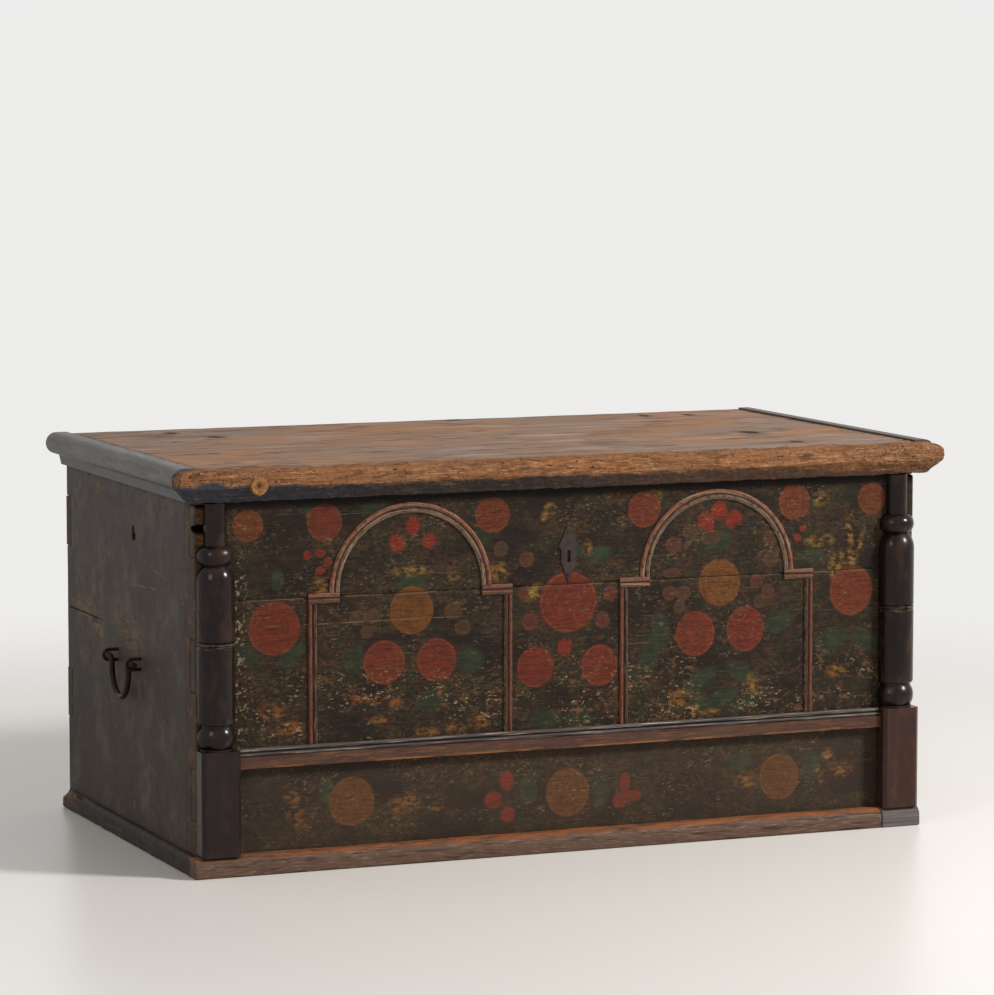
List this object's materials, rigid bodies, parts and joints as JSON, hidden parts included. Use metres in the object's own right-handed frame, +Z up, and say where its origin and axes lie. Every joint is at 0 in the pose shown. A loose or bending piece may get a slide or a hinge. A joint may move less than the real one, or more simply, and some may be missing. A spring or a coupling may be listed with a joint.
{
  "type": "painted trunk",
  "caption": "Long plank-built painted trunk with a moulded hinged lid, turned half columns, an arcaded front, lock and drop end handles.",
  "frame": {"origin": "on the floor under the middle of the whole trunk, hinges and lid overhang included", "axes": "+X along the front to the viewer's right, -Y out of the front, +Z up"},
  "size_m": [1.218, 0.676, 0.588],
  "materials": {
    "painted_front": "oil paint worn through to the wood, folk flowers on a dark green ground",
    "painted_end": "thin dark grey-green paint, rubbed",
    "bare_pine": "bare aged pine, sawn",
    "grey_paint": "grey paint over pine",
    "worn_moulding": "red-brown paint worn to the wood",
    "dark_turning": "dark brown-black paint, half gloss",
    "arcade_strip": "pink-red and dark lines on carved pine",
    "lid_wood": "bare worn pine, weathered",
    "wrought_iron": "hand-forged iron, rust brown"
  },
  "bodies": {
    "case": {"back_lower_board": "bare_pine", "back_upper_board": "bare_pine", "base_corner_patch": "grey_paint", "base_moulding_front": "worn_moulding", "base_moulding_left": "worn_moulding", "base_moulding_right": "worn_moulding", "bottom_board_back": "bare_pine", "bottom_board_front": "bare_pine", "bottom_board_middle": "bare_pine", "escutcheon_pins": "wrought_iron", "escutcheon_plate": "wrought_iron", "front_frieze_board": "painted_front", "front_middle_board": "painted_front", "front_top_board": "painted_front", "hinge_back_nails": "wrought_iron", "left_arch_post_left": "arcade_strip", "left_arch_post_right": "arcade_strip", "left_arch_ring": "arcade_strip", "left_arch_shoulder_left": "arcade_strip", "left_arch_shoulder_right": "arcade_strip", "left_column": "dark_turning", "left_handle_eyes": "wrought_iron", "left_hinge_back_strap": "wrought_iron", "left_hinge_pin": "wrought_iron", "left_plinth_block": "dark_turning", "left_side_lower_board": "painted_end", "left_side_upper_board": "painted_end", "lock_case": "wrought_iron", "mid_rail_moulding": "worn_moulding", "right_arch_post_left": "arcade_strip", "right_arch_post_right": "arcade_strip", "right_arch_ring": "arcade_strip", "right_arch_shoulder_left": "arcade_strip", "right_arch_shoulder_right": "arcade_strip", "right_column": "dark_turning", "right_handle_eyes": "wrought_iron", "right_hinge_back_strap": "wrought_iron", "right_hinge_pin": "wrought_iron", "right_plinth_block": "dark_turning", "right_side_lower_board": "painted_end", "right_side_upper_board": "painted_end"},
    "lid": {"hinge_lid_nails": "wrought_iron", "left_hinge_lid_strap": "wrought_iron", "lid_end_moulding_left": "grey_paint", "lid_end_moulding_right": "grey_paint", "lid_end_nails": "wrought_iron", "lid_front_edge": "lid_wood", "lid_plank_back": "lid_wood", "lid_plank_front": "lid_wood", "lid_plank_middle": "lid_wood", "lock_staple": "wrought_iron", "right_hinge_lid_strap": "wrought_iron"},
    "left_handle": {"left_handle_bail": "wrought_iron"},
    "right_handle": {"right_handle_bail": "wrought_iron"},
    "bolt": {"lock_bolt": "wrought_iron"}
  },
  "joints": [
    {"name": "lid_hinge", "type": "hinge", "parent": "case", "child": "lid", "pos_m": [0, 0.331, 0.551], "axis": [-1, 0, 0], "range_deg": [0, 100]},
    {"name": "left_handle_swing", "type": "hinge", "parent": "case", "child": "left_handle", "pos_m": [-0.589, 0.011, 0.273], "axis": [0, 1, 0], "range_deg": [0, 120]},
    {"name": "right_handle_swing", "type": "hinge", "parent": "case", "child": "right_handle", "pos_m": [0.589, 0.011, 0.273], "axis": [0, -1, 0], "range_deg": [0, 120]},
    {"name": "bolt_slide", "type": "slide", "parent": "case", "child": "bolt", "axis": [1, 0, 0], "range_m": [0, 0.016]}
  ]
}
